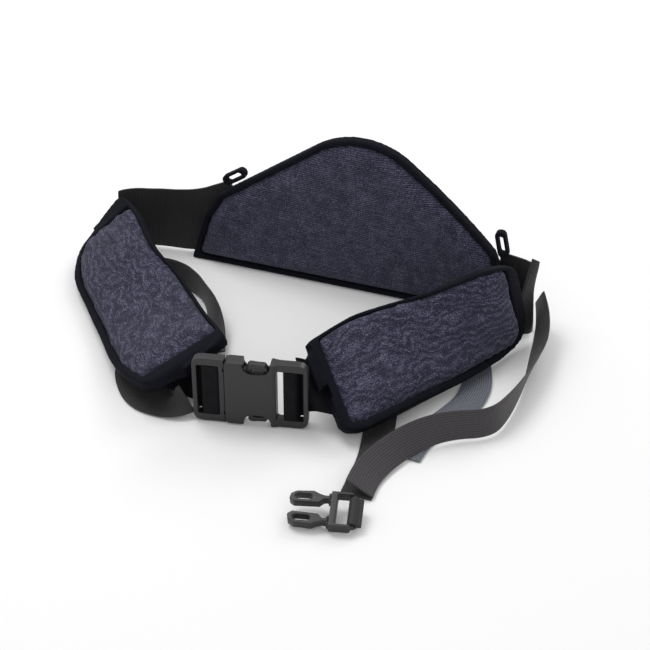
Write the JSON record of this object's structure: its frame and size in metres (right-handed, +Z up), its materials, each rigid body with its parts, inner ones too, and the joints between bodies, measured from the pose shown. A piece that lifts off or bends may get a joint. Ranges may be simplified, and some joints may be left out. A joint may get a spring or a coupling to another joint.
{
  "type": "padded waist belt",
  "caption": "Padded waist belt closed into a ring: tall back pad, padded side wings, side-release buckle and a loose retaining strap with a small clip.",
  "frame": {"origin": "on the surface the belt stands on, under the middle of the ring, without the loose strap", "axes": "+Z up, the buckle towards -Y, the back pad towards +Y, +X to the viewer's right when facing the buckle"},
  "size_m": [0.4372, 0.3305, 0.1506],
  "materials": {
    "navy_knit": "matte",
    "lining_knit": "matte",
    "foam_core": "matte",
    "binding_tape": "matte",
    "elastic_band": "matte",
    "main_webbing": "satin",
    "strap_webbing": "satin",
    "buckle_plastic": "satin"
  },
  "bodies": {
    "belt": {"back_pad_binding": "binding_tape", "back_pad_cover": "navy_knit", "back_pad_foam": "foam_core", "back_pad_lining": "lining_knit", "buckle_female_housing": "buckle_plastic", "clip_strap_loop": "strap_webbing", "left_side_band": "elastic_band", "left_top_loop": "binding_tape", "retaining_strap": "strap_webbing", "retaining_strap_return": "strap_webbing", "retaining_strap_tail": "strap_webbing", "right_bar_webbing": "main_webbing", "right_main_webbing": "main_webbing", "right_pad_binding": "binding_tape", "right_pad_cover": "navy_knit", "right_pad_foam": "foam_core", "right_pad_lining": "lining_knit", "right_side_band": "elastic_band", "right_top_loop": "binding_tape"},
    "left_front": {"buckle_male_frame": "buckle_plastic", "clip_mate": "buckle_plastic", "left_bar_webbing": "main_webbing", "left_inner_strap": "strap_webbing", "left_main_webbing": "main_webbing", "left_pad_binding": "binding_tape", "left_pad_cover": "navy_knit", "left_pad_foam": "foam_core", "left_pad_lining": "lining_knit", "left_webbing_tail": "main_webbing", "mate_strap_loop": "strap_webbing"},
    "upper_prong": {"buckle_prong_upper": "buckle_plastic"},
    "lower_prong": {"buckle_prong_lower": "buckle_plastic"},
    "small_clip": {"clip_frame": "buckle_plastic"},
    "clip_far_prong": {"clip_prong_far": "buckle_plastic"},
    "clip_near_prong": {"clip_prong_near": "buckle_plastic"}
  },
  "joints": [
    {"name": "buckle_release", "type": "slide", "parent": "belt", "child": "left_front", "axis": [-0.9799, -0.1994, 0], "range_m": [0, 0.045], "deforming": ["left_side_band", "buckle_prong_upper", "buckle_prong_lower"]},
    {"name": "upper_prong_squeeze", "type": "hinge", "parent": "left_front", "child": "upper_prong", "pos_m": [0.00627, -0.10321, 0.052], "axis": [-0.1994, 0.9799, 0], "range_deg": [0, 7], "stiffness_Nm_per_rad": 0.1},
    {"name": "lower_prong_squeeze", "type": "hinge", "parent": "left_front", "child": "lower_prong", "pos_m": [0.00627, -0.10321, 0.01], "axis": [0.1994, -0.9799, 0], "range_deg": [0, 7], "stiffness_Nm_per_rad": 0.1},
    {"name": "small_clip_swing", "type": "hinge", "parent": "belt", "child": "small_clip", "pos_m": [0.1415, -0.1855, 0.0088], "axis": [-0.2173, 0.9412, 0.2588], "range_deg": [0, 75]},
    {"name": "clip_far_prong_squeeze", "type": "hinge", "parent": "small_clip", "child": "clip_far_prong", "pos_m": [0.12033, -0.18047, 0.01139], "axis": [0.0582, -0.2522, 0.9659], "range_deg": [0, 5], "stiffness_Nm_per_rad": 0.1},
    {"name": "clip_near_prong_squeeze", "type": "hinge", "parent": "small_clip", "child": "clip_near_prong", "pos_m": [0.12467, -0.1993, 0.00621], "axis": [-0.0582, 0.2522, -0.9659], "range_deg": [0, 5], "stiffness_Nm_per_rad": 0.1}
  ]
}
